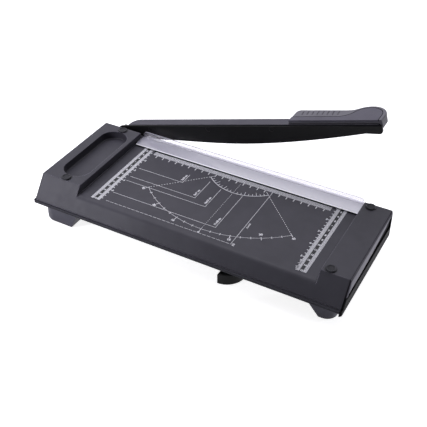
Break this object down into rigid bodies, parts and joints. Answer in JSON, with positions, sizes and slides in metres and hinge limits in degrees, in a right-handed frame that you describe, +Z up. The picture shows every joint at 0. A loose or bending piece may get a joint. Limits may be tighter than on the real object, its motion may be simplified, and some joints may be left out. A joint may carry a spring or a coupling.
{
  "type": "lever paper trimmer",
  "caption": "Lever trimmer for cards and photos: ruled table between two raised blocks, curved blade on a hinged arm, sprung paper clamp with clear guard.",
  "frame": {"origin": "on the desk plane, under the middle of the whole trimmer with its lever at rest", "axes": "+X along the cut from the pivot to the handle, +Y to the rear (blade side), +Z up"},
  "size_m": [0.419, 0.2154, 0.1632],
  "materials": {
    "housing_plastic": "fine moulded texture, dark grey",
    "cover_plastic": "moulded, black grey",
    "knife_steel": "ground, lightly oiled",
    "clamp_aluminium": "satin anodised strip",
    "guard_clear": "clear acrylic",
    "spring_steel": "bright wire",
    "blade_black": "black coated steel blade, ground edge",
    "arm_plastic": "moulded, dark grey",
    "handle_plastic": "moulded, dark grey",
    "handle_inlay_plastic": "soft-touch dark grey",
    "screw_steel": "blackened screws",
    "pivot_steel": "blackened steel",
    "bronze": "sintered bronze",
    "buffer_rubber": "soft rubber",
    "foot_rubber": "firm rubber, dark grey",
    "plug_plastic": "moulded caps"
  },
  "bodies": {
    "base": {"top_housing": "housing_plastic", "bottom_cover": "cover_plastic", "bed_knife": "knife_steel", "bed_knife_screws": "screw_steel", "arm_buffer": "buffer_rubber", "clamp_spring_left": "spring_steel", "clamp_spring_right": "spring_steel", "thrust_washer": "pivot_steel", "spring_washer": "spring_steel", "pivot_bolt": "pivot_steel", "pivot_nut": "pivot_steel", "foot_front_left": "foot_rubber", "foot_rear_left": "foot_rubber", "foot_front_right": "foot_rubber", "foot_rear_right": "foot_rubber", "foot_centre": "cover_plastic", "foot_centre_screw": "screw_steel", "housing_screws": "screw_steel", "plug_front_left": "plug_plastic", "plug_rear_left": "plug_plastic", "plug_front_right": "plug_plastic", "plug_rear_right": "plug_plastic"},
    "clamp": {"pressure_bar": "clamp_aluminium", "finger_guard": "guard_clear"},
    "lever": {"upper_blade": "blade_black", "lever_arm": "arm_plastic", "blade_screws": "screw_steel", "handle_body": "handle_plastic", "handle_inlay": "handle_inlay_plastic", "handle_screws": "screw_steel", "pivot_bushing": "bronze"}
  },
  "joints": [
    {"name": "arm_hinge", "type": "hinge", "parent": "base", "child": "lever", "pos_m": [-0.186, 0.06675, 0.041], "axis": [0, -1, 0], "range_deg": [-16.6, 43.4]},
    {"name": "clamp_press", "type": "slide", "parent": "base", "child": "clamp", "axis": [0, 0, -1], "range_m": [0, 0.0012], "stiffness_N_per_m": 1600, "springref_m": -0.0004, "deforming": ["clamp_spring_left", "clamp_spring_right"]}
  ]
}
